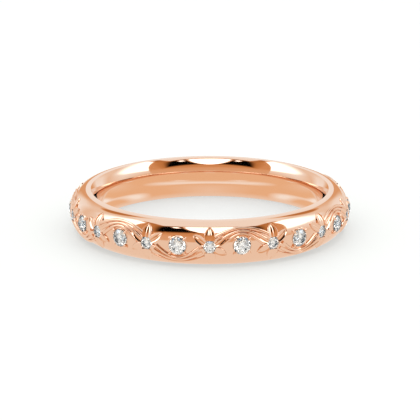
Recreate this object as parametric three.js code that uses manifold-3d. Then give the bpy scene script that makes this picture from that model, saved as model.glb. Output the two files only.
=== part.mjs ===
// Floral vine wedding band: one rose gold casting and the 28 round brilliants set in it.
// Millimetres, +Z up. The band lies flat: its finger hole runs along Z, and the origin is the centre of
// that hole at half the band's width. The flower at station 0 faces -Y, and stations count towards +X.
import * as THREE from "three";
import { ConvexGeometry } from "three/addons/geometries/ConvexGeometry.js";
import { ParametricGeometry } from "three/addons/geometries/ParametricGeometry.js";
import { mergeVertices } from "three/addons/utils/BufferGeometryUtils.js";
import Module from "manifold-3d";

const wasm = await Module();
wasm.setup();

const RAD = Math.PI / 180;

// Band: a comfort-fit bore, narrow flat sides and an outside that is half of an ellipse.
const FINGER_DIAMETER = 17.3; // US ring size 7
const BAND_DIAMETER = 21.4; // across the crown of the bare outside, under the raised work
const BAND_WIDTH = 3.3;
const SIDE_INNER_RADIUS = 9.22; // where the flat side face starts
const SIDE_OUTER_RADIUS = 9.5; // where it ends and the domed outside starts
const COMFORT_START = 41 * RAD; // slope of the bore's rounded edge where it meets the side face
const BAND_SEGMENTS = 56; // two to each station
const COMFORT_STEPS = 3;
const DOME_STEPS = 4; // from a side face to the crown

// Setting: 28 stations, a flower with a small stone and a bright-set larger stone by turns.
const STATIONS = 28;
const PITCH = (2 * Math.PI) / STATIONS;
const FLOWER_STONE = 0.95;
const LARGE_STONE = 1.3;
const GIRDLE_HEIGHT = -0.02; // girdle plane from the crown of the bare band
const SEAT_CLEARANCE = 0.03;
const COLLET_HEIGHT = -0.06; // top of the metal seat, from the crown; it stands out where the dome falls away
const COLLET_INSET = 0.03; // the stone overhangs its seat by this much
const ROOT_DEPTH = 0.35; // how far raised work is rooted below the bare band

// Flowers: direction and reach of each of the six petals, where the vine climbs towards +X.
const PETALS = [
  { angle: 90 * RAD, tip: 1.33 },
  { angle: 270 * RAD, tip: 1.33 },
  { angle: 31 * RAD, tip: 1.5 },
  { angle: 211 * RAD, tip: 1.5 },
  { angle: 146 * RAD, tip: 1.42 },
  { angle: 335 * RAD, tip: 1.36 },
];
const PETAL_START = 0.53; // just outside the small stone
const PETAL_WIDTH = 0.62;
const PETAL_THICKNESS = 0.4;
const SIDE_PETAL_RISE = 0.18; // top of the petal's root above the crown
const CROSS_PETAL_RISE = 0.12;
const SIDE_PETAL_TILT = 15 * RAD;
const CROSS_PETAL_TILT = 32 * RAD; // petals that run over the dome dip more

// Vine: three strands that swing over one large stone and under the next.
const VINE_SWING = 1.05;
const VINE_START = 0.21; // share of the way between two flowers where the strands come out of the petals
const VINE_STEPS = 6;
const STRAND_SPACING = { apex: 0.17, flower: 0.34 };
const STRAND_RISE = 0.17; // ridges above the bare band
const STRAND_VALLEY = 0.02; // bottom of the grooves between them
const STRAND_ROOT = 0.15; // below the bare band

// Beads: four grains of metal that stand round each larger stone and hold it.
const BEAD_RADIUS = 0.12;
const BEAD_TOP = 0.16; // above the crown
const BEADS = 4;

// Round brilliant proportions, as shares of the girdle diameter.
const TABLE = 0.57;
const CROWN_ANGLE = 34.5 * RAD;
const PAVILION_ANGLE = 40.8 * RAD;
const GIRDLE = 0.03;
const STAR_LENGTH = 0.5;
const LOWER_HALF_LENGTH = 0.77;

const ROSE_GOLD = new THREE.MeshStandardMaterial({ color: 0xe8b196, roughness: 0.12, metalness: 1 });
const DIAMOND = new THREE.MeshStandardMaterial({ color: 0xf4f6f8, roughness: 0.02, metalness: 0 });

const HALF_WIDTH = BAND_WIDTH / 2;
const BORE_RADIUS = FINGER_DIAMETER / 2;
const BAND_RADIUS = BAND_DIAMETER / 2;
const COMFORT_RADIUS = (SIDE_INNER_RADIUS - BORE_RADIUS) / (1 - Math.sin(COMFORT_START));
const COMFORT_CENTRE = HALF_WIDTH - COMFORT_RADIUS * Math.cos(COMFORT_START);

// --- helpers ---------------------------------------------------------------------------------------

/** A closed three.js geometry as a manifold-3d solid, moved by a matrix. */
function solidOf(geometry, matrix = new THREE.Matrix4()) {
  const shape = geometry.index ? geometry.toNonIndexed() : geometry.clone();
  shape.deleteAttribute("normal");
  shape.deleteAttribute("uv");
  shape.applyMatrix4(matrix);
  const merged = mergeVertices(shape, 1e-4);
  return new wasm.Manifold(
    new wasm.Mesh({
      numProp: 3,
      vertProperties: merged.attributes.position.array,
      triVerts: new Uint32Array(merged.index.array),
    }),
  );
}

/** A manifold-3d solid back as a three.js geometry. */
function geometryOf(solid) {
  const mesh = solid.getMesh();
  const geometry = new THREE.BufferGeometry();
  geometry.setAttribute("position", new THREE.BufferAttribute(mesh.vertProperties, 3));
  geometry.setIndex(new THREE.BufferAttribute(mesh.triVerts, 1));
  geometry.computeVertexNormals();
  return geometry;
}

/** Direction of a station round the band, from +X, in radians. */
const stationAngle = (station) => station * PITCH - Math.PI / 2;

/** Radius of the bare band's outside at height z above its middle. */
function outsideRadius(z) {
  const share = Math.min(Math.abs(z) / HALF_WIDTH, 1);
  return SIDE_OUTER_RADIUS + (BAND_RADIUS - SIDE_OUTER_RADIUS) * Math.sqrt(1 - share ** 2);
}

/** Frame on the band at a station: X along the band, Y across it (world up), Z outwards. */
function stationMatrix(station, radius) {
  const angle = stationAngle(station);
  const out = new THREE.Vector3(Math.cos(angle), Math.sin(angle), 0);
  const along = new THREE.Vector3(-out.y, out.x, 0);
  const up = new THREE.Vector3(0, 0, 1);
  return new THREE.Matrix4().makeBasis(along, up, out).setPosition(out.multiplyScalar(radius));
}

/** A solid of revolution from [radius, height] pairs, with its axis along Z. */
function turned(profile, segments) {
  const points = profile.map(([radius, height]) => new THREE.Vector2(radius, height));
  return new THREE.LatheGeometry(points, segments).rotateX(Math.PI / 2);
}

// --- band ------------------------------------------------------------------------------------------

/** The bare band: its section turned once round the finger hole. */
function bandBlank() {
  const upper = [];
  for (let i = 0; i <= COMFORT_STEPS; i++) {
    const slope = THREE.MathUtils.lerp(Math.PI / 2, COMFORT_START, i / COMFORT_STEPS);
    const radius = BORE_RADIUS + COMFORT_RADIUS * (1 - Math.sin(slope));
    upper.push([radius, COMFORT_CENTRE + COMFORT_RADIUS * Math.cos(slope)]);
  }
  for (let i = 0; i < DOME_STEPS; i++) {
    const height = HALF_WIDTH * Math.cos(((i / DOME_STEPS) * Math.PI) / 2);
    upper.push([outsideRadius(height), height]);
  }
  const lower = upper.map(([radius, height]) => [radius, -height]).reverse();
  const section = [...upper, [BAND_RADIUS, 0], ...lower].reverse();
  return solidOf(turned([...section, section[0]], BAND_SEGMENTS));
}

/** A flower petal, pointing along +X from the flower's centre, its top dipping towards the tip. */
function petalGeometry(tip, rise, tilt) {
  const belly = PETAL_START + (tip - PETAL_START) * 0.45;
  const outline = new THREE.Shape();
  outline.moveTo(PETAL_START, -PETAL_WIDTH * 0.3);
  outline.quadraticCurveTo(belly, -PETAL_WIDTH * 0.72, tip, 0);
  outline.quadraticCurveTo(belly, PETAL_WIDTH * 0.72, PETAL_START, PETAL_WIDTH * 0.3);
  outline.closePath();
  const options = { depth: PETAL_THICKNESS, bevelEnabled: false, curveSegments: 2 };
  return new THREE.ExtrudeGeometry(outline, options)
    .translate(-PETAL_START, 0, -PETAL_THICKNESS)
    .rotateY(tilt)
    .translate(PETAL_START, 0, rise);
}

/** Six petals round a flower station; every other flower is the mirror image of the last. */
function petals(station) {
  const climbs = station % 4 === 0;
  return PETALS.map(({ angle, tip }) => {
    const crosses = Math.abs(Math.cos(angle)) < 0.5;
    const geometry = crosses
      ? petalGeometry(tip, CROSS_PETAL_RISE, CROSS_PETAL_TILT)
      : petalGeometry(tip, SIDE_PETAL_RISE, SIDE_PETAL_TILT);
    const turned = geometry.rotateZ(climbs ? angle : Math.PI - angle);
    return solidOf(turned, stationMatrix(station, BAND_RADIUS));
  });
}

/** A length of vine between two flowers: three ridges side by side, closest over the stone. */
function vine(station) {
  const section = [
    [1.5, -STRAND_ROOT],
    [1, STRAND_RISE],
    [0.5, STRAND_VALLEY],
    [0, STRAND_RISE],
    [-0.5, STRAND_VALLEY],
    [-1, STRAND_RISE],
    [-1.5, -STRAND_ROOT],
  ];
  const rows = VINE_STEPS + 2;
  const surface = (u, v, target) => {
    const row = Math.round(v * rows);
    const along = THREE.MathUtils.clamp((row - 1) / VINE_STEPS, 0, 1);
    const t = THREE.MathUtils.lerp(VINE_START, 1 - VINE_START, along);
    const spacing = THREE.MathUtils.lerp(STRAND_SPACING.flower, STRAND_SPACING.apex, Math.sin(Math.PI * t));
    const closes = row === 0 || row === rows;
    const [offset, rise] = closes ? [0, -STRAND_ROOT] : section[Math.round(u * section.length) % section.length];
    const z = VINE_SWING * Math.sin((station + 2 * t) * (Math.PI / 2)) + offset * spacing;
    const angle = stationAngle(station + 2 * t);
    const radius = outsideRadius(z) + rise;
    target.set(radius * Math.cos(angle), radius * Math.sin(angle), z);
  };
  return solidOf(new ParametricGeometry(surface, section.length, rows));
}

/** The low raised seat that a stone sits on. */
function collet(station, diameter) {
  const radius = diameter / 2 - COLLET_INSET;
  const flare = 0.1;
  const profile = [
    [0, -ROOT_DEPTH],
    [radius + flare, -ROOT_DEPTH],
    [radius, COLLET_HEIGHT],
    [0, COLLET_HEIGHT],
  ];
  return solidOf(turned(profile, 10), stationMatrix(station, BAND_RADIUS));
}

/** Four beads that hold a larger stone, standing just outside its girdle. */
function beads(station) {
  const offset = LARGE_STONE / 2 + SEAT_CLEARANCE + BEAD_RADIUS;
  const profile = [
    [0, -ROOT_DEPTH],
    [BEAD_RADIUS, -ROOT_DEPTH],
    [BEAD_RADIUS, BEAD_TOP - BEAD_RADIUS / 2],
    [0, BEAD_TOP],
  ];
  return Array.from({ length: BEADS }, (_, i) => {
    const angle = ((i + 0.5) * 2 * Math.PI) / BEADS;
    const bead = turned(profile, 5).translate(offset * Math.cos(angle), offset * Math.sin(angle), 0);
    return solidOf(bead, stationMatrix(station, BAND_RADIUS));
  });
}

/** The tool that cuts a stone's seat: a cone for the pavilion and open space for the crown. */
function seatCutter(station, diameter) {
  const radius = diameter / 2 + SEAT_CLEARANCE;
  const depth = radius * Math.tan(PAVILION_ANGLE);
  const profile = [
    [0, -depth],
    [radius, -SEAT_CLEARANCE],
    [radius, 1],
    [0, 1],
  ];
  return solidOf(turned(profile, 10), stationMatrix(station, BAND_RADIUS + GIRDLE_HEIGHT));
}

/** The finished casting: blank, raised work and seats. */
function bandGeometry() {
  const raised = [];
  const seats = [];
  for (let station = 0; station < STATIONS; station++) {
    const flower = station % 2 === 0;
    const diameter = flower ? FLOWER_STONE : LARGE_STONE;
    raised.push(collet(station, diameter));
    raised.push(...(flower ? [...petals(station), vine(station)] : beads(station)));
    seats.push(seatCutter(station, diameter));
  }
  const cast = wasm.Manifold.union([bandBlank(), ...raised]);
  return geometryOf(cast.subtract(wasm.Manifold.union(seats)));
}

// --- stones ----------------------------------------------------------------------------------------

/** A round brilliant with its girdle's lower edge at z = 0 and its table up. */
function brilliant(diameter) {
  const radius = diameter / 2;
  const girdle = GIRDLE * diameter;
  const corner = (TABLE * diameter) / 2;
  const half = Math.PI / 8;
  const at = (distance, step, height) =>
    new THREE.Vector3(distance * Math.cos(step * half), distance * Math.sin(step * half), height);
  const crown = (radius - corner) * Math.tan(CROWN_ANGLE);
  const edge = corner * Math.cos(half);
  const star = edge + STAR_LENGTH * (radius - edge);
  const starHeight = (radius - star * Math.cos(half)) * Math.tan(CROWN_ANGLE);
  const lower = radius * (1 - LOWER_HALF_LENGTH);
  const lowerHeight = -(radius - lower * Math.cos(half)) * Math.tan(PAVILION_ANGLE);
  const points = [new THREE.Vector3(0, 0, -radius * Math.tan(PAVILION_ANGLE))];
  for (let step = 0; step < 16; step++) {
    points.push(at(radius, step, 0), at(radius, step, girdle));
    if (step % 2) {
      points.push(at(star, step, girdle + starHeight), at(lower, step, lowerHeight));
    } else {
      points.push(at(corner, step, girdle + crown));
    }
  }
  return new ConvexGeometry(points);
}

// --- assembly --------------------------------------------------------------------------------------

const ring = new THREE.Group();

const band = new THREE.Mesh(bandGeometry(), ROSE_GOLD);
band.name = "band";
ring.add(band);

const largeBrilliant = brilliant(LARGE_STONE);
const smallBrilliant = brilliant(FLOWER_STONE);
for (let station = 0; station < STATIONS; station++) {
  const flower = station % 2 === 0;
  const stone = new THREE.Mesh(flower ? smallBrilliant : largeBrilliant, DIAMOND);
  const number = String(Math.floor(station / 2) + 1).padStart(2, "0");
  stone.name = (flower ? "flower_diamond_" : "large_diamond_") + number;
  stone.applyMatrix4(stationMatrix(station, BAND_RADIUS + GIRDLE_HEIGHT));
  ring.add(stone);
}

export default ring;
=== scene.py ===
"""Looks for the floral vine wedding band: polished rose gold, round brilliants and a white studio.

Lengths are in millimetres in the code and become metres in mesh_object. The frame is the CAD part's own:
the finger hole runs along Z, the band's middle is at z = 0, and flower 0 faces -Y.
"""

import math
from functools import reduce

import bpy
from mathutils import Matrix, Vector


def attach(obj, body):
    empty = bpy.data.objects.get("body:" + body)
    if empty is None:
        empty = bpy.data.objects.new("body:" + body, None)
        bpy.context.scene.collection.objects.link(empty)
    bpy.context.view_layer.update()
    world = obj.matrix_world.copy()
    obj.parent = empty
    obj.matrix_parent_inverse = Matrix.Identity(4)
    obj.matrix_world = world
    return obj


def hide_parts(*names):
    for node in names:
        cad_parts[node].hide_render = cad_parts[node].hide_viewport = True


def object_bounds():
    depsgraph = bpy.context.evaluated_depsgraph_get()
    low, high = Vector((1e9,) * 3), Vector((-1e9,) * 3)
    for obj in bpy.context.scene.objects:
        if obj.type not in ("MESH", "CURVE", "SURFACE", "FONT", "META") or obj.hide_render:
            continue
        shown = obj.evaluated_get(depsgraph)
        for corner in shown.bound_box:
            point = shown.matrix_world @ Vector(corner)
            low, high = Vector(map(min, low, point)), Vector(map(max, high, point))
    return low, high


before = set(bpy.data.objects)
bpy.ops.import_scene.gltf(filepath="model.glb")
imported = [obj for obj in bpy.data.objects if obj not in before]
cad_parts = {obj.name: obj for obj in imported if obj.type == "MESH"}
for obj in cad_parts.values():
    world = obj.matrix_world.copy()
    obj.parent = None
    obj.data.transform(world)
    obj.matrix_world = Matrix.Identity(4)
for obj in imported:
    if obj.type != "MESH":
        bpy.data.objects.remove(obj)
cad_low, cad_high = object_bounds()

MM = 0.001
FLOOR_Z = cad_low.z / MM

# Band section, as in the CAD part: a half ellipse outside, flat rims and a bore with rounded edges.
BORE_RADIUS = 8.65
RIM_INNER_RADIUS = 9.22
RIM_OUTER_RADIUS = 9.5
CROWN_RADIUS = 10.7
HALF_WIDTH = -FLOOR_Z
COMFORT_START = math.radians(41)
COMFORT_RADIUS = (RIM_INNER_RADIUS - BORE_RADIUS) / (1 - math.sin(COMFORT_START))
COMFORT_CENTRE = HALF_WIDTH - COMFORT_RADIUS * math.cos(COMFORT_START)

# Stations round the band: a flower at each even one, a larger stone at each odd one.
STATIONS = 28
PITCH = 2 * math.pi / STATIONS
LARGE_STONE = 1.3
SMALL_STONE = 0.95
GIRDLE_RADIUS = 10.68


# --- the band's outside as a surface to build on -----------------------------------------------------


def outside(arc, z, height=0.0):
    """Point on the band's outside: arc round from flower 0, z up, and height out along the normal."""
    share = max(min(z / HALF_WIDTH, 0.999), -0.999)
    depth = CROWN_RADIUS - RIM_OUTER_RADIUS
    fall = math.sqrt(1 - share * share)
    normal = Vector((fall / depth, share / HALF_WIDTH)).normalized()
    radius = RIM_OUTER_RADIUS + depth * fall + height * normal.x
    angle = arc / CROWN_RADIUS - math.pi / 2
    return (radius * math.cos(angle), radius * math.sin(angle), share * HALF_WIDTH + height * normal.y)


def station_frame(station):
    """Unit vectors along the band, across it and outwards at a station."""
    angle = station * PITCH - math.pi / 2
    out = Vector((math.cos(angle), math.sin(angle), 0))
    return Vector((-out.y, out.x, 0)), Vector((0, 0, 1)), out


def station_point(station, along, across, radius):
    """Point in a station's own flat frame, at that distance from the ring's axis."""
    tangent, up, out = station_frame(station)
    return tuple(tangent * along + up * across + out * radius)


def mesh_object(name, points, faces, material, sharp=None):
    """A mesh piece from millimetre points, smooth apart from edges sharper than the given angle."""
    mesh = bpy.data.meshes.new(name)
    mesh.from_pydata([Vector(p) * MM for p in points], [], faces)
    mesh.validate()
    mesh.update()
    mesh.shade_smooth()
    if sharp is not None:
        mesh.set_sharp_from_angle(angle=math.radians(sharp))
    mesh.materials.append(material)
    piece = bpy.data.objects.new(name, mesh)
    bpy.context.scene.collection.objects.link(piece)
    return piece


def bridge(first, second):
    """Quads between two closed loops of vertex numbers."""
    count = len(first)
    return [(first[i], first[(i + 1) % count], second[(i + 1) % count], second[i]) for i in range(count)]


# --- materials ---------------------------------------------------------------------------------------


class NodeTree:
    """Makes and links shader nodes. A value is a number, a colour or another node's output."""

    def __init__(self, owner):
        owner.use_nodes = True
        self.nodes = owner.node_tree.nodes
        self.links = owner.node_tree.links

    def feed(self, socket, value):
        """Set a socket to a number or a colour, or link another node's output to it."""
        if isinstance(value, bpy.types.NodeSocket):
            self.links.new(value, socket)
        elif socket.type != "RGBA":
            socket.default_value = value
        elif isinstance(value, tuple):
            socket.default_value = (*value, 1)
        else:
            socket.default_value = (value, value, value, 1)

    def node(self, kind, *values, **settings):
        """A new node with its settings made, and then its first inputs fed in order."""
        node = self.nodes.new(kind)
        for name, setting in settings.items():
            setattr(node, name, setting)
        for socket, value in zip(node.inputs, values):
            self.feed(socket, value)
        return node

    def math(self, operation, *values, clamp=False):
        return self.node("ShaderNodeMath", *values, operation=operation, use_clamp=clamp).outputs[0]

    def mix(self, share, first, second):
        """The colour a share of the way from the first to the second."""
        node = self.node("ShaderNodeMix", data_type="RGBA")
        for number, value in ((0, share), (6, first), (7, second)):
            self.feed(node.inputs[number], value)
        return node.outputs[2]

    def mix_shader(self, share, first, second):
        return self.node("ShaderNodeMixShader", share, first, second).outputs[0]

    def spread(self, value, start, end, first, last):
        """Runs from first to last as the value runs from start to end."""
        return self.node("ShaderNodeMapRange", value, start, end, first, last).outputs["Result"]

    def ramp(self, value, stops, whole=1):
        """The level or colour at a value, from stops whose places are out of a whole."""
        node = self.node("ShaderNodeValToRGB", value)
        elements = node.color_ramp.elements
        while len(elements) < len(stops):
            elements.new(0.5)
        for element, (place, colour) in zip(elements, stops):
            element.position = place / whole
            element.color = (*colour, 1) if isinstance(colour, tuple) else (colour, colour, colour, 1)
        return node.outputs["Color"]


def node_material(name):
    material = bpy.data.materials.new(name)
    tree = NodeTree(material)
    return material, tree, tree.nodes["Principled BSDF"]


GOLD_COLOUR = (0.89, 0.66, 0.52)
# The colour the gold has for diffuse rays and behind a stone, so that it throws no rose tint on either.
GOLD_SPILL_COLOUR = (0.82, 0.91, 1.0)
GOLD_ROUGHNESS_LEAST = 0.035
GOLD_ROUGHNESS_MOST = 0.075
# Size and detail of the polishing haze that moves the roughness between those.
HAZE_SCALE = 900
HAZE_DETAIL = 3


def rose_gold():
    """Polished rose gold, which gives diffuse rays and rays behind a stone a cool near-white instead."""
    material, tree, shader = node_material("polished_rose_gold")
    shader.inputs["Metallic"].default_value = 1
    path = tree.node("ShaderNodeLightPath")
    spill = tree.math("ADD", path.outputs["Is Diffuse Ray"], path.outputs["Transmission Depth"], clamp=True)
    tree.feed(shader.inputs["Base Color"], tree.mix(spill, GOLD_COLOUR, GOLD_SPILL_COLOUR))
    place = tree.node("ShaderNodeTexCoord")
    haze = tree.node("ShaderNodeTexNoise")
    haze.inputs["Scale"].default_value = HAZE_SCALE
    haze.inputs["Detail"].default_value = HAZE_DETAIL
    tree.feed(haze.inputs["Vector"], place.outputs["Object"])
    roughness = tree.spread(haze.outputs["Fac"], 0, 1, GOLD_ROUGHNESS_LEAST, GOLD_ROUGHNESS_MOST)
    tree.feed(shader.inputs["Roughness"], roughness)
    return material


DIAMOND_IOR = 2.417
DIAMOND_REFLECTION_TINT = (0.55, 0.78, 1, 1)


def diamond():
    """Clear brilliant with a diamond's refraction and bluish reflections."""
    material, _, shader = node_material("brilliant_diamond")
    shader.inputs["Base Color"].default_value = (1, 1, 1, 1)
    shader.inputs["Transmission Weight"].default_value = 1
    shader.inputs["IOR"].default_value = DIAMOND_IOR
    shader.inputs["Specular Tint"].default_value = DIAMOND_REFLECTION_TINT
    shader.inputs["Roughness"].default_value = 0
    return material


FLOOR_COLOUR = (0.84, 0.865, 0.84, 1)
FLOOR_ROUGHNESS = 0.6
FLOOR_SPECULAR = 0.2
# Painted light: the floor glows by itself to fill the shadow, with this share and level in the finger hole
# and round the ring.
HOLE_PAINTED_GLOW_SHARE = 0.55
HOLE_PAINTED_GLOW_MIDDLE = 1.0
HOLE_PAINTED_GLOW_EDGE = 0.82
HOLE_PAINTED_GLOW_CORE = 0.5
HOLE_PAINTED_GLOW_REACH = 8.5
ROUND_PAINTED_GLOW_SHARE = 0.30
ROUND_PAINTED_GLOW_LEVEL = 1.0
# Painted reflection: what mirror rays see in place of the floor, a glow of this colour in the finger hole,
# in a pool and round the ring.
PAINTED_REFLECTION_HOLE_COLOUR = (0.90, 0.61, 0.40)
PAINTED_REFLECTION_POOL_COLOUR = (1.04, 1.08, 1.1)
PAINTED_REFLECTION_ROUND_COLOUR = (0.925, 0.79, 0.685)
PAINTED_REFLECTION_EDGE = 0.5
# Painted pools of light that only mirror rays see, repeated in each quarter: (x, y), core, reach and
# strength.
PAINTED_REFLECTION_POOLS = [
    ((0, 4.4), 0.1, 1.0, 0.9),
    ((0, 8.4), 0.0, 3.0, 0.3),
    ((0.5, 3.6), 0.05, 0.32, 1.0),
    ((5.15, 6.5), 0.3, 1.3, 1.0),
]


def studio_floor():
    """Pale floor with painted light: it glows by itself, and mirror rays see a painted warm reflection with
    pools instead.
    """
    material, tree, shader = node_material("studio_floor")
    shader.inputs["Base Color"].default_value = FLOOR_COLOUR
    shader.inputs["Roughness"].default_value = FLOOR_ROUGHNESS
    shader.inputs["Specular IOR Level"].default_value = FLOOR_SPECULAR
    place = tree.node("ShaderNodeTexCoord")
    quarter = tree.node("ShaderNodeVectorMath", place.outputs["Object"], operation="ABSOLUTE").outputs[0]

    def distance_from(x, y):
        middle = (x * MM, y * MM, -FLOOR_Z * MM)
        offset = tree.node("ShaderNodeVectorMath", quarter, middle, operation="SUBTRACT").outputs[0]
        return tree.node("ShaderNodeVectorMath", offset, operation="LENGTH").outputs["Value"]

    def between(distance, start, end, first, last):
        return tree.spread(distance, start * MM, end * MM, first, last)

    def brightest_of(first, second):
        return tree.math("MAXIMUM", first, second)

    # Painted light: the floor's glow is brightest in the middle of the finger hole and rises round the
    # ring, to fill the shadow there.
    reach = distance_from(0, 0)
    painted_hole_glow = between(reach, HOLE_PAINTED_GLOW_CORE, HOLE_PAINTED_GLOW_REACH, HOLE_PAINTED_GLOW_MIDDLE, HOLE_PAINTED_GLOW_EDGE)
    painted_round_glow = between(reach, BORE_RADIUS, CROWN_RADIUS, 0, ROUND_PAINTED_GLOW_LEVEL)
    painted_glow = tree.node("ShaderNodeEmission", 1, brightest_of(painted_hole_glow, painted_round_glow))
    painted_glow_share = between(reach, BORE_RADIUS, CROWN_RADIUS, HOLE_PAINTED_GLOW_SHARE, ROUND_PAINTED_GLOW_SHARE)
    floor_with_painted_glow = tree.mix_shader(painted_glow_share, shader.outputs[0], painted_glow.outputs[0])

    # Painted reflection: a warm glow and pools of light that only mirror rays see, in place of the floor's
    # own shading.
    painted_pool_masks = [
        between(distance_from(*middle), core, edge, strength, 0)
        for middle, core, edge, strength in PAINTED_REFLECTION_POOLS
    ]
    painted_hole_reflection = tree.mix(reduce(brightest_of, painted_pool_masks), PAINTED_REFLECTION_HOLE_COLOUR, PAINTED_REFLECTION_POOL_COLOUR)
    past_hole = between(reach, BORE_RADIUS, BORE_RADIUS + PAINTED_REFLECTION_EDGE, 0, 1)
    painted_reflection_shader = tree.node("ShaderNodeEmission", tree.mix(past_hole, painted_hole_reflection, PAINTED_REFLECTION_ROUND_COLOUR))
    path = tree.node("ShaderNodeLightPath")
    by_mirror = tree.math(
        "SUBTRACT", path.outputs["Is Glossy Ray"], path.outputs["Transmission Depth"], clamp=True
    )
    seen = tree.mix_shader(by_mirror, floor_with_painted_glow, painted_reflection_shader.outputs[0])
    tree.feed(tree.nodes["Material Output"].inputs["Surface"], seen)
    return material


ROSE_GOLD = rose_gold()
DIAMOND = diamond()
FLOOR = studio_floor()


# --- shank -------------------------------------------------------------------------------------------

PATCH_HALF = 1.15
ARC_STEPS = 12
ACROSS_STEPS = 12
BLEND_STEPS = 9
BLEND_EASE = 1.3
COLLET_WALL = 0.12
SHOULDER_STEPS = 12
COMFORT_STEPS = 14
# Points closer than about one of these parts of a millimetre are one point.
POINTS_PER_MM = 2e4


def square_loop(station):
    """(arc, z) round the edge of a station's share of the crown, anticlockwise seen from outside."""
    start = (station - 0.5) * PITCH * CROWN_RADIUS
    width = PITCH * CROWN_RADIUS
    arcs = [start + width * i / ARC_STEPS for i in range(ARC_STEPS + 1)]
    levels = [PATCH_HALF * (2 * i / ACROSS_STEPS - 1) for i in range(ACROSS_STEPS + 1)]
    loop = [(arc, levels[0]) for arc in arcs[:-1]]
    loop += [(arcs[-1], level) for level in levels[:-1]]
    loop += [(arc, levels[-1]) for arc in reversed(arcs[1:])]
    loop += [(arcs[0], level) for level in reversed(levels[1:])]
    return loop


class MeshBuilder:
    """Collects points and faces, and joins points that fall in the same place."""

    def __init__(self):
        self.points = []
        self.faces = []
        self.seen = {}

    def point(self, position):
        key = tuple(round(c * POINTS_PER_MM) for c in position)
        if key not in self.seen:
            self.seen[key] = len(self.points)
            self.points.append(tuple(position))
        return self.seen[key]

    def loop(self, positions):
        return [self.point(p) for p in positions]

    def bridge(self, first, second):
        self.faces += bridge(first, second)

    def close(self, rows):
        """A closed body through sections that run anticlockwise as seen looking along it."""
        for first, second in zip(rows, rows[1:]):
            self.bridge(second, first)
        self.faces.append(tuple(rows[0]))
        self.faces.append(tuple(reversed(rows[-1])))


def seat_profile(stone):
    """(radius, height) pairs from outside the girdle, over the seat's lip and down to its foot."""
    girdle = stone / 2
    lip = GIRDLE_RADIUS - 0.01
    return [
        (girdle + 0.07, lip - 0.025),
        (girdle + 0.045, lip),
        (girdle + 0.02, lip + 0.004),
        (girdle, lip - 0.005),
        (girdle - 0.03, lip - 0.03),
        (girdle * 0.3, lip - girdle * 0.65),
        (girdle * 0.12, lip - girdle * 0.9),
    ]


def add_station(builder, station):
    """The dome round a stone, its collet and its seat."""
    stone = SMALL_STONE if station % 2 == 0 else LARGE_STONE
    centre = station * PITCH * CROWN_RADIUS
    edge = square_loop(station)
    foot = stone / 2 + COLLET_WALL
    previous = builder.loop([outside(arc, z) for arc, z in edge])
    directions = [math.atan2(z, arc - centre) for arc, z in edge]
    for step in range(1, BLEND_STEPS + 1):
        share = 1 - (1 - step / BLEND_STEPS) ** BLEND_EASE
        ring = []
        for (arc, z), direction in zip(edge, directions):
            x = (arc - centre) * (1 - share) + foot * math.cos(direction) * share
            y = z * (1 - share) + foot * math.sin(direction) * share
            ring.append(outside(centre + x, y))
        current = builder.loop(ring)
        builder.bridge(previous, current)
        previous = current
    for radius, height in seat_profile(stone):
        ring = [
            station_point(station, radius * math.cos(direction), radius * math.sin(direction), height)
            for direction in directions
        ]
        current = builder.loop(ring)
        builder.bridge(previous, current)
        previous = current
    builder.faces.append(tuple(previous))


def band_shank():
    """Shoulders, rims and comfort-fit bore turned round, with a seat for each stone in the dome."""
    builder = MeshBuilder()
    for station in range(STATIONS):
        add_station(builder, station)
    half = []
    turn = math.acos(PATCH_HALF / HALF_WIDTH)
    for i in range(SHOULDER_STEPS + 1):
        left = turn * (1 - i / SHOULDER_STEPS)
        radius = RIM_OUTER_RADIUS + (CROWN_RADIUS - RIM_OUTER_RADIUS) * math.sin(left)
        half.append((radius, HALF_WIDTH * math.cos(left)))
    for i in range(COMFORT_STEPS + 1):
        slope = COMFORT_START + (math.pi / 2 - COMFORT_START) * i / COMFORT_STEPS
        radius = BORE_RADIUS + COMFORT_RADIUS * (1 - math.sin(slope))
        half.append((radius, COMFORT_CENTRE + COMFORT_RADIUS * math.cos(slope)))
    section = half + [(BORE_RADIUS, 0)] + [(radius, -z) for radius, z in reversed(half)]
    columns = STATIONS * ARC_STEPS
    turns = [((i / ARC_STEPS) - 0.5) * PITCH - math.pi / 2 for i in range(columns)]
    rings = [builder.loop([(r * math.cos(a), r * math.sin(a), z) for a in turns]) for r, z in section]
    for lower, upper in zip(rings, rings[1:]):
        builder.bridge(lower, upper)
    return mesh_object("band_shank", builder.points, builder.faces, ROSE_GOLD, sharp=35)


# --- flowers -----------------------------------------------------------------------------------------

PETAL_ROOT = 0.44
# Direction in degrees, reach and half width of each petal, where the vine climbs towards +X.
PETALS = [
    (90, 1.35, 0.42),
    (270, 1.35, 0.42),
    (31, 1.58, 0.29),
    (211, 1.58, 0.29),
    (146, 1.48, 0.29),
    (335, 1.38, 0.29),
]
PETAL_STEPS = 16
PETAL_EASE = 1.25
PETAL_ROOT_HEIGHT = 0.17
PETAL_DIP = 0.10
# Half width at which a petal's scoop reaches its full depth, and the depth past which a point is its skirt.
FULL_SCOOP_HALF = 0.22
SKIRT_DEPTH = -0.2
# Across as a share of the half width, and height from the petal's own top.
PETAL_SECTION = [
    (-1.0, -0.30),
    (-1.0, -0.05),
    (-0.94, -0.012),
    (-0.86, 0.0),
    (-0.78, -0.012),
    (-0.6, -0.05),
    (-0.35, -0.075),
    (-0.12, -0.07),
    (0.0, -0.055),
    (0.12, -0.07),
    (0.35, -0.075),
    (0.6, -0.05),
    (0.78, -0.012),
    (0.86, 0.0),
    (0.94, -0.012),
    (1.0, -0.05),
    (1.0, -0.30),
]


def petal_half(width, t):
    """Half width a share t of the way from root to tip: fullest past the middle, closing to a round tip."""
    return width * 1.34 * (1.0 - t) ** 0.8 * (0.6 + 1.3 * t) + 0.004


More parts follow.
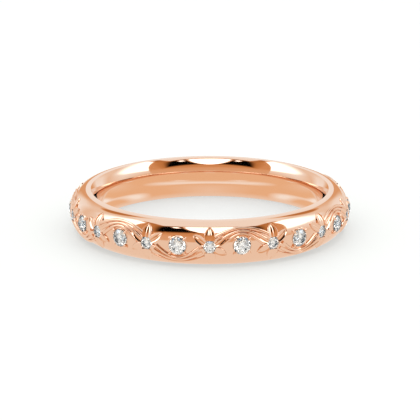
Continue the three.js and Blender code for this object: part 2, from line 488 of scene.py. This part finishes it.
def add_petal(builder, station, degrees, tip, width):
    """One scooped petal with a raised rim, lying on the band and dipping towards its tip."""
    centre = station * PITCH * CROWN_RADIUS
    direction = math.radians(degrees)
    rows = []
    for i in range(PETAL_STEPS + 1):
        t = 1 - (1 - i / PETAL_STEPS) ** PETAL_EASE
        reach = PETAL_ROOT + (tip - PETAL_ROOT) * t
        half = petal_half(width, t)
        top = PETAL_ROOT_HEIGHT - PETAL_DIP * t
        scoop = min(1.0, half / FULL_SCOOP_HALF)
        row = []
        for across, depth in PETAL_SECTION:
            x = reach * math.cos(direction) - across * half * math.sin(direction)
            y = reach * math.sin(direction) + across * half * math.cos(direction)
            height = top + (depth * scoop if depth > SKIRT_DEPTH else depth)
            row.append(outside(centre + x, y, height))
        rows.append(builder.loop(row))
    builder.close(rows)


def band_flowers():
    builder = MeshBuilder()
    for station in range(0, STATIONS, 2):
        climbs = station % 4 == 0
        for degrees, tip, width in PETALS:
            add_petal(builder, station, degrees if climbs else 180 - degrees, tip, width)
    return mesh_object("band_flowers", builder.points, builder.faces, ROSE_GOLD, sharp=50)


# --- vine --------------------------------------------------------------------------------------------

VINE_SWING = 1.05
VINE_STEPS = 40
VINE_START = 0.12
# Spacing and half width of the ribbons over a stone, and what each gains towards a flower.
RIBBON_SPACING = 0.17
RIBBON_SPACING_GAIN = 0.26
RIBBON_HALF = 0.083
RIBBON_HALF_GAIN = 0.052
# Across as a share of the half width, and height over the band.
VINE_SECTION = [
    (-1, -0.15),
    (-1, 0.02),
    (-0.86, 0.105),
    (-0.5, 0.15),
    (0, 0.162),
    (0.5, 0.15),
    (0.86, 0.105),
    (1, 0.02),
    (1, -0.15),
]


def add_strand(builder, station, side):
    """One ribbon of the vine, from the flower at a station to the next flower."""
    rows = []
    span = 2 * PITCH * CROWN_RADIUS
    for i in range(VINE_STEPS + 1):
        t = VINE_START + (1 - 2 * VINE_START) * i / VINE_STEPS
        phase = (station + 2 * t) * math.pi / 2
        opening = math.cos(math.pi * t) ** 2
        spread = RIBBON_SPACING + RIBBON_SPACING_GAIN * opening
        half = RIBBON_HALF + RIBBON_HALF_GAIN * opening
        slope = VINE_SWING * math.cos(phase) * math.pi / span
        length = math.hypot(1, slope)
        arc = station * PITCH * CROWN_RADIUS + span * t
        z = VINE_SWING * math.sin(phase)
        normal = (-slope / length, 1 / length)
        row = []
        for across, height in VINE_SECTION:
            offset = side * spread + across * half
            row.append(outside(arc + normal[0] * offset, z + normal[1] * offset, height))
        rows.append(builder.loop(row))
    builder.close(rows)


def band_vine():
    builder = MeshBuilder()
    for station in range(0, STATIONS, 2):
        for side in (-1, 0, 1):
            add_strand(builder, station, side)
    return mesh_object("band_vine", builder.points, builder.faces, ROSE_GOLD, sharp=50)


# --- beads -------------------------------------------------------------------------------------------

BEAD_REACH = LARGE_STONE / 2 + 0.12
BEAD_LENGTH = 0.18
BEAD_WIDTH = 0.1
BEAD_RISE = 0.14
BEAD_FALL = 0.35
BEAD_FOOT = 10.35
BEAD_RINGS = 8
BEAD_SIDES = 16


def add_bead(builder, station, direction):
    """A bead pushed over a larger stone's edge, with a tail that runs out to the band."""

    def ring(lift, level):
        points = []
        for j in range(BEAD_SIDES):
            turn = 2 * math.pi * j / BEAD_SIDES
            along = BEAD_LENGTH * math.cos(lift) * math.cos(turn)
            across = BEAD_WIDTH * math.cos(lift) * math.sin(turn)
            x = (BEAD_REACH + along) * math.cos(direction) - across * math.sin(direction)
            y = (BEAD_REACH + along) * math.sin(direction) + across * math.cos(direction)
            points.append(station_point(station, x, y, level - BEAD_FALL * along))
        return builder.loop(points)

    previous = ring(0, BEAD_FOOT)
    builder.faces.append(tuple(reversed(previous)))
    for i in range(BEAD_RINGS):
        lift = math.pi / 2 * i / BEAD_RINGS
        current = ring(lift, GIRDLE_RADIUS + BEAD_RISE * math.sin(lift))
        builder.bridge(previous, current)
        previous = current
    builder.faces.append(tuple(previous))


def band_beads():
    builder = MeshBuilder()
    for station in range(1, STATIONS, 2):
        for quarter in range(4):
            add_bead(builder, station, math.pi / 4 + quarter * math.pi / 2)
    return mesh_object("band_beads", builder.points, builder.faces, ROSE_GOLD, sharp=60)


gold_pieces = [band_shank(), band_flowers(), band_vine(), band_beads()]
for piece in gold_pieces:
    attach(piece, "root")
    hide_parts("band")

for name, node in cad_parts.items():
    if "diamond" in name:
        node.data.materials.clear()
        node.data.materials.append(DIAMOND)


# --- floor, light and camera ---------------------------------------------------------------------------


FLOOR_REACH = 600


def floor():
    corners = [(-1, -1), (1, -1), (1, 1), (-1, 1)]
    points = [(x * FLOOR_REACH, y * FLOOR_REACH, FLOOR_Z) for x, y in corners]
    return mesh_object("floor", points, [(0, 1, 2, 3)], FLOOR)


floor()

# Levels of the studio as the gold sees it, from black through warm shadow to the white of a softbox.
STUDIO_TONES = [
    (0.00, (0.0, 0.0, 0.0)),
    (0.08, (0.11, 0.044, 0.013)),
    (0.20, (0.40, 0.16, 0.048)),
    (0.30, (0.59, 0.255, 0.087)),
    (0.40, (0.75, 0.385, 0.183)),
    (0.50, (0.84, 0.57, 0.39)),
    (0.60, (0.925, 0.79, 0.685)),
    (0.70, (1.0, 1.0, 1.0)),
    (1.00, (2.6, 2.6, 2.6)),
]

# What stands round the ring. Distances are from straight overhead, for a height of 1.
KEY_LIGHT_WIDTH = 0.3
KEY_LIGHT_DEPTH = 0.66
KEY_LIGHT_FORWARD = 0.6
KEY_LIGHT = [(0, 1.0), (0.9, 1.0), (1.0, 0.45), (1.1, 0.0), (4, 0.0)]
WARM_PANELS = [(0, 0.0), (0.22, 0.0), (0.42, 0.28), (0.73, 0.38), (4, 0.38)]
WARM_PANEL_SLANT = 0.85
WHITE_PANELS = [(0, 0.0), (0.56, 0.0), (0.66, 1.0), (4, 1.0)]
WHITE_PANEL_SLANT = 1.79
# A low warm card in front of the ring, under the dark gap that the key light hangs in.
FRONT_CARD = [(0, 0.0), (1.0, 0.0), (1.35, 0.36), (4, 0.36)]
# As (degrees round from the side that faces -Y, level): what shuts the panels off behind, and the ground.
BACK = [(0, 0.0), (100, 0.0), (125, 1.0), (180, 1.0)]
BACK_LEVEL = [(0, 0.6), (140, 0.59), (158, 0.5), (180, 0.48)]
GROUND = [(0, 0.46), (60, 0.46), (104, 0.6), (128, 0.55), (140, 0.72), (152, 0.7), (163, 0.4), (180, 0.4)]
# A dark stand at each side behind the ring, as its place overhead and the share it shuts off round it.
STAND_SIDE = 0.56
STAND_FORWARD = -0.95
STAND = [(0, 1.0), (0.2, 1.0), (0.36, 0.0), (4, 0.0)]
STAND_LEVEL = 0.27
# How those give way to the floor, as (degrees above it, share).
PANEL_FOOT = [(0, 0.0), (20, 0.3), (28, 1.0), (90, 1.0)]
# Two small lamps in the dark gaps either side of the key light.
LAMP_SIDE = [(0, 0.0), (0.33, 0.0), (0.36, 1.0), (0.42, 1.0), (0.45, 0.0), (4, 0.0)]
LAMP_FORWARD = [(0, 0.0), (0.33, 0.0), (0.36, 1.0), (0.46, 1.0), (0.5, 0.0), (4, 0.0)]
# The pale ceiling: a long sheet over the ring that runs out behind it, for a height of 1.
CEILING_SIDE = 0.5
CEILING_FRONT = 0.24
CEILING_LEVEL = 0.68
CEILING_EDGE = [(0, 1.0), (0.96, 1.0), (1.04, 0.0), (4, 0.0)]
# The dark gap between that sheet and the panels.
GAP = [(0, 0.0), (0.96, 0.0), (1.02, 1.0), (1.12, 1.0), (1.3, 0.0), (4, 0.0)]
GAP_WIDTH = [(0, 1.0), (100, 1.0), (115, 0.0), (180, 0.0)]
GAP_LEVEL = 0.25
# How far out the distances above run.
OVERHEAD_REACH = 4

# The even white of the background and of the floor's light, and how bright the stones see the studio.
PLAIN_LIGHT = 1.24
STONE_LIGHT = 3.2
STONE_CONTRAST = 2.0


def studio_world():
    """Even white for the background and floor; softboxes and dark gaps for mirror rays and the stones."""
    world = bpy.data.worlds.new("studio")
    bpy.context.scene.world = world
    tree = NodeTree(world)
    tree.nodes.clear()
    place = tree.node("ShaderNodeTexCoord")
    x, y, z = tree.node("ShaderNodeSeparateXYZ", place.outputs["Generated"]).outputs

    def length_of(first, second):
        squares = tree.math("ADD", tree.math("POWER", first, 2.0), tree.math("POWER", second, 2.0))
        return tree.math("SQRT", squares)

    def from_centre(value, centre, reach):
        return tree.math("ABSOLUTE", tree.math("DIVIDE", tree.math("SUBTRACT", value, centre), reach))

    def overhead(distance, stops):
        return tree.ramp(tree.math("DIVIDE", distance, float(OVERHEAD_REACH)), stops, OVERHEAD_REACH)

    def slanted_edge(slant):
        return tree.math("SUBTRACT", sideways, tree.math("MULTIPLY", forwards, slant))

    toward_front = tree.math("MULTIPLY", y, -1.0)
    azimuth = tree.math("ABSOLUTE", tree.math("ARCTAN2", x, toward_front))
    turn = tree.math("DIVIDE", azimuth, math.pi)
    rise = tree.math("DIVIDE", tree.math("ARCSINE", z), math.pi / 2)
    height = tree.math("MAXIMUM", z, 0.01)
    sideways = tree.math("DIVIDE", tree.math("ABSOLUTE", x), height)
    forwards = tree.math("DIVIDE", toward_front, height)
    past_side = tree.math("DIVIDE", sideways, CEILING_SIDE)
    past_front = tree.math("DIVIDE", forwards, CEILING_FRONT)
    past_edge = tree.math("MAXIMUM", past_side, past_front)

    key = length_of(
        tree.math("DIVIDE", sideways, KEY_LIGHT_WIDTH),
        from_centre(forwards, KEY_LIGHT_FORWARD, KEY_LIGHT_DEPTH),
    )
    lamps = tree.math("MULTIPLY", overhead(sideways, LAMP_SIDE), overhead(forwards, LAMP_FORWARD))
    lights = [
        overhead(key, KEY_LIGHT),
        overhead(slanted_edge(WARM_PANEL_SLANT), WARM_PANELS),
        overhead(slanted_edge(WHITE_PANEL_SLANT), WHITE_PANELS),
        lamps,
        overhead(forwards, FRONT_CARD),
    ]
    lit = reduce(lambda first, second: tree.math("MAXIMUM", first, second), lights)
    panels = tree.mix(tree.ramp(turn, BACK, 180), lit, tree.ramp(turn, BACK_LEVEL, 180))
    level = tree.mix(tree.ramp(rise, PANEL_FOOT, 90), tree.ramp(turn, GROUND, 180), panels)
    gap = tree.math("MULTIPLY", overhead(past_edge, GAP), tree.ramp(turn, GAP_WIDTH, 180))
    level = tree.mix(gap, level, GAP_LEVEL)
    level = tree.mix(overhead(past_edge, CEILING_EDGE), level, CEILING_LEVEL)
    stand = length_of(from_centre(sideways, STAND_SIDE, 1.0), from_centre(forwards, STAND_FORWARD, 1.0))
    level = tree.mix(overhead(stand, STAND), level, STAND_LEVEL)

    path = tree.node("ShaderNodeLightPath")
    behind_stone = tree.math("MINIMUM", path.outputs["Transmission Depth"], 1.0)
    plain_or_studio = tree.mix(path.outputs["Is Glossy Ray"], PLAIN_LIGHT, tree.ramp(level, STUDIO_TONES))
    in_stones = tree.math("MULTIPLY", tree.math("POWER", level, STONE_CONTRAST), STONE_LIGHT)
    background = tree.node("ShaderNodeBackground", tree.mix(behind_stone, plain_or_studio, in_stones))
    tree.node("ShaderNodeOutputWorld", background.outputs[0])


studio_world()


CAMERA_ELEVATION = math.radians(16.32)
CAMERA_DISTANCE = 165.2
CAMERA_LENS = 181.4
CAMERA_SENSOR = 36
# What the camera aims at: across, and up from the floor.
AIM_ACROSS = 0.02
AIM_RISE = 1.42


def camera():
    """Long lens, a little above the band."""
    data = bpy.data.cameras.new("camera")
    data.lens = CAMERA_LENS
    data.sensor_width = CAMERA_SENSOR
    data.clip_end = 10
    back = CAMERA_DISTANCE * math.cos(CAMERA_ELEVATION)
    rise = CAMERA_DISTANCE * math.sin(CAMERA_ELEVATION)
    eye = Vector((0, -back, FLOOR_Z + rise))
    aim = Vector((AIM_ACROSS, 0, FLOOR_Z + AIM_RISE))
    lens = bpy.data.objects.new("camera", data)
    lens.location = eye * MM
    lens.rotation_euler = (aim - eye).to_track_quat("-Z", "Y").to_euler()
    bpy.context.scene.collection.objects.link(lens)
    bpy.context.scene.camera = lens


camera()
bpy.context.scene.view_settings.view_transform = "Standard"
